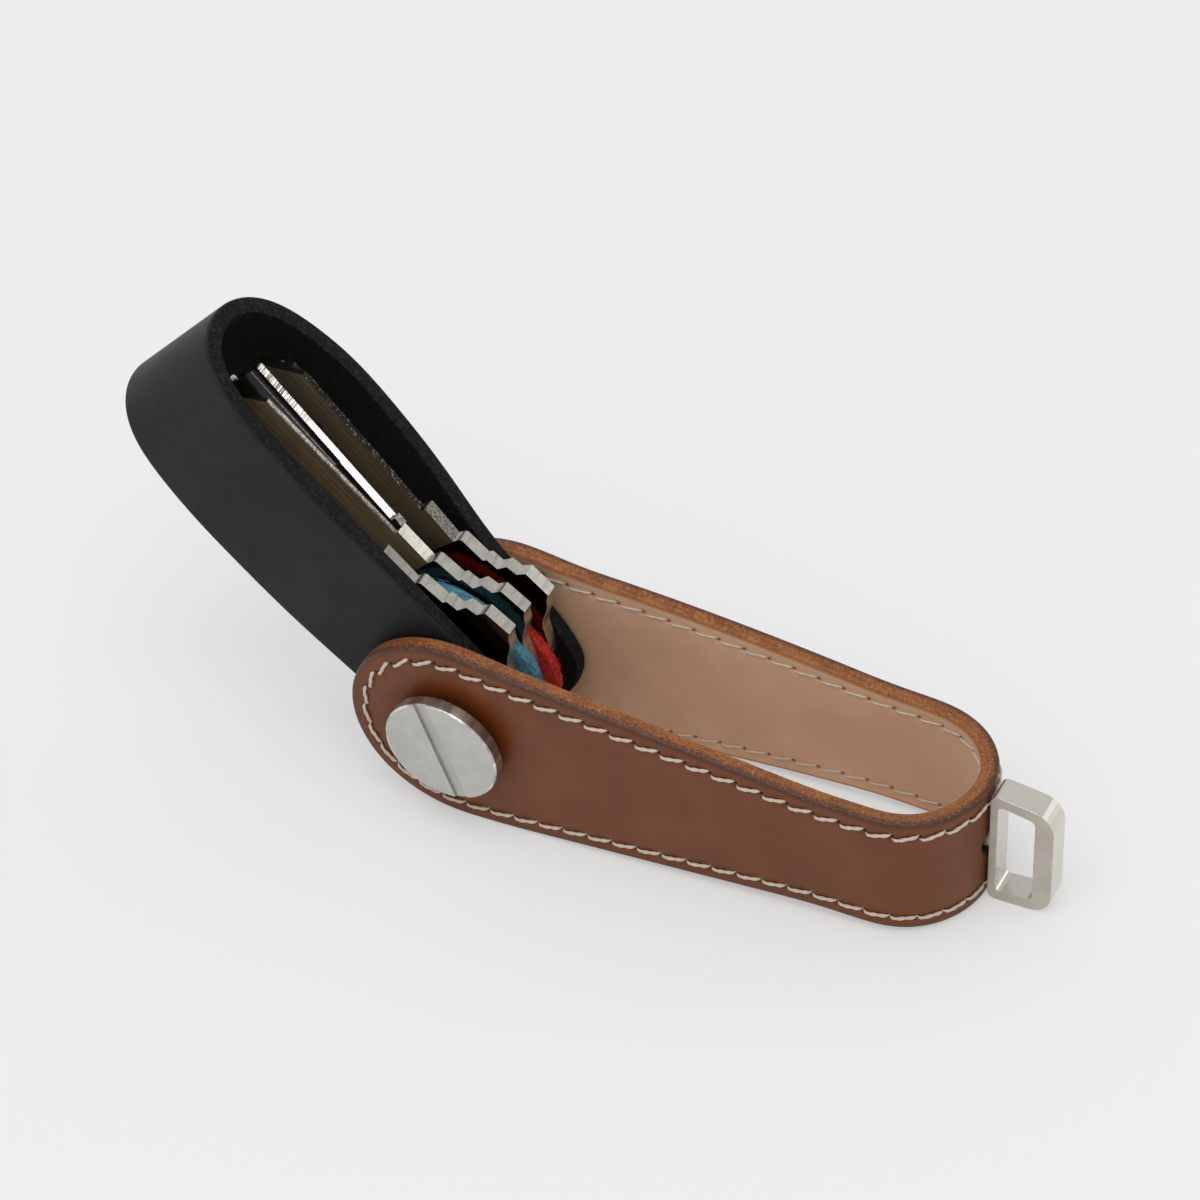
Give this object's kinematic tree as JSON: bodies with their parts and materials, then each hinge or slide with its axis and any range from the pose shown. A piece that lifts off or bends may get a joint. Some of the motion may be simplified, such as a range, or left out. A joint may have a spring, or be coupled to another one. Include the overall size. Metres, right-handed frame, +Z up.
{
  "type": "key organizer",
  "caption": "Folded leather key organizer on a slotted pivot screw, with a black leather loop of flat keys swung out and a flat metal ring at the fold.",
  "frame": {"origin": "middle of the bounding box's bottom face, on the surface that the part stands on", "axes": "+X from the pivot toward the fold and its ring, +Y from the slotted screw to the rear head along the pivot axis, +Z up"},
  "size_m": [0.1435, 0.0308, 0.0717],
  "materials": {
    "brown_leather": "smooth, semi-matte",
    "tan_leather": "matte",
    "black_leather": "matte",
    "nickel": "satin nickel",
    "key_metal": "bright nickel plate",
    "blue_leather": "fibrous, matte",
    "red_leather": "fibrous, matte"
  },
  "bodies": {
    "cover": {"cover_strap": "brown_leather", "cover_lining": "tan_leather", "screw_head": "nickel", "screw_post": "nickel", "ring_washer": "nickel"},
    "loop": {"inner_strap": "black_leather", "spacer_blue": "blue_leather", "spacer_red": "red_leather"},
    "front_key": {"key_front": "key_metal"},
    "middle_key": {"key_middle": "key_metal"},
    "rear_key": {"key_rear": "key_metal"},
    "swivel_ring": {"ring": "nickel", "ring_screw": "nickel"}
  },
  "joints": [
    {"name": "loop_hinge", "type": "hinge", "parent": "cover", "child": "loop", "pos_m": [-0.0154, 0.0024, 0.0163], "axis": [0, 1, 0], "range_deg": [-40, 139.8]},
    {"name": "front_key_hinge", "type": "hinge", "parent": "loop", "child": "front_key", "pos_m": [-0.0154, 0.0024, 0.0163], "axis": [0, 1, 0], "continuous": true},
    {"name": "middle_key_hinge", "type": "hinge", "parent": "loop", "child": "middle_key", "pos_m": [-0.0154, 0.0024, 0.0163], "axis": [0, 1, 0], "continuous": true},
    {"name": "rear_key_hinge", "type": "hinge", "parent": "loop", "child": "rear_key", "pos_m": [-0.0154, 0.0024, 0.0163], "axis": [0, 1, 0], "continuous": true},
    {"name": "ring_swivel", "type": "hinge", "parent": "cover", "child": "swivel_ring", "pos_m": [0.0617, 0.004, 0.01075], "axis": [0.9974, 0, -0.0718], "continuous": true}
  ]
}
